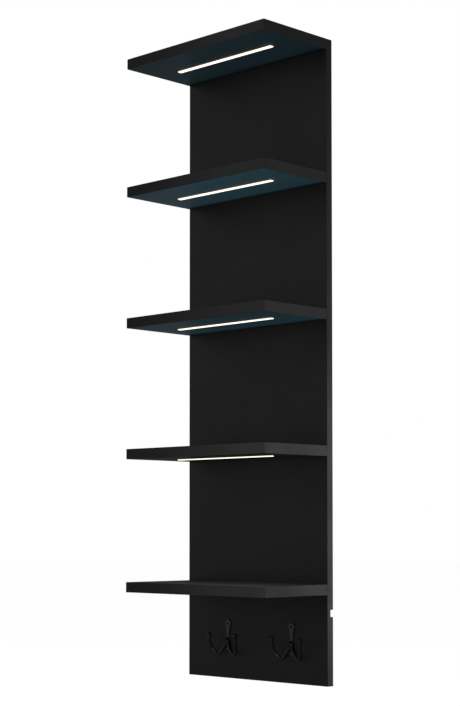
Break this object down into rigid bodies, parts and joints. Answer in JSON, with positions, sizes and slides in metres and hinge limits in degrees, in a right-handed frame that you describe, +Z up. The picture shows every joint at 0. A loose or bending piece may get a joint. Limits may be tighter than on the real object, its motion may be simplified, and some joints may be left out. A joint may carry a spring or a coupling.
{
  "type": "wall-hung display panel with lit shelves",
  "caption": "Tall black wall panel with full-width cantilevered shelves, light bars set into their undersides, and double coat hooks below the lowest shelf.",
  "frame": {"origin": "centre of the panel's back face, on the wall", "axes": "+Z up along the panel's height, +X to the right seen from the front, +Y into the wall, so the shelves reach out along -Y"},
  "size_m": [0.52, 0.2623, 1.71],
  "materials": {
    "black_laminate": "matt black melamine-faced chipboard with black edge banding",
    "black_anodised_aluminium": "satin black anodised extrusion",
    "black_plastic": "fine-grained moulded plastic",
    "opal_diffuser": "opal acrylic, lit from behind",
    "led_board_white": "white solder mask with yellow phosphor chips",
    "cable_sheath": "smooth dark grey sheath",
    "driver_shell": "light grey moulded shell",
    "black_cast_metal": "satin black coating over a smooth casting",
    "black_screw": "blackened steel",
    "zinc_plated_steel": "bright zinc plate"
  },
  "bodies": {
    "root": {"back_panel": "black_laminate", "coat_hook_left": "black_cast_metal", "coat_hook_right": "black_cast_metal", "driver_lead": "cable_sheath", "driver_screw_left": "zinc_plated_steel", "driver_screw_right": "zinc_plated_steel", "hanger_plate_left": "zinc_plated_steel", "hanger_plate_right": "zinc_plated_steel", "hanger_screw_left_inner": "zinc_plated_steel", "hanger_screw_left_outer": "zinc_plated_steel", "hanger_screw_right_inner": "zinc_plated_steel", "hanger_screw_right_outer": "zinc_plated_steel", "hook_screw_left_lower": "black_screw", "hook_screw_left_upper": "black_screw", "hook_screw_right_lower": "black_screw", "hook_screw_right_upper": "black_screw", "lead_comb_lower": "black_plastic", "lead_comb_upper": "black_plastic", "lead_distributor": "black_plastic", "led_board_lower": "led_board_white", "led_board_middle": "led_board_white", "led_board_top": "led_board_white", "led_board_upper": "led_board_white", "led_driver": "driver_shell", "light_diffuser_lower": "opal_diffuser", "light_diffuser_middle": "opal_diffuser", "light_diffuser_top": "opal_diffuser", "light_diffuser_upper": "opal_diffuser", "light_end_cap_lower_left": "black_plastic", "light_end_cap_lower_right": "black_plastic", "light_end_cap_middle_left": "black_plastic", "light_end_cap_middle_right": "black_plastic", "light_end_cap_top_left": "black_plastic", "light_end_cap_top_right": "black_plastic", "light_end_cap_upper_left": "black_plastic", "light_end_cap_upper_right": "black_plastic", "light_housing_lower": "black_anodised_aluminium", "light_housing_middle": "black_anodised_aluminium", "light_housing_top": "black_anodised_aluminium", "light_housing_upper": "black_anodised_aluminium", "light_lead_lower": "cable_sheath", "light_lead_middle": "cable_sheath", "light_lead_top": "cable_sheath", "light_lead_upper": "cable_sheath", "mains_inlet": "black_plastic", "shelf_foot": "black_laminate", "shelf_lower": "black_laminate", "shelf_middle": "black_laminate", "shelf_screw_foot_left": "zinc_plated_steel", "shelf_screw_foot_right": "zinc_plated_steel", "shelf_screw_lower_left": "zinc_plated_steel", "shelf_screw_lower_right": "zinc_plated_steel", "shelf_screw_middle_left": "zinc_plated_steel", "shelf_screw_middle_right": "zinc_plated_steel", "shelf_screw_top_left": "zinc_plated_steel", "shelf_screw_top_right": "zinc_plated_steel", "shelf_screw_upper_left": "zinc_plated_steel", "shelf_screw_upper_right": "zinc_plated_steel", "shelf_top": "black_laminate", "shelf_upper": "black_laminate"}
  },
  "joints": []
}
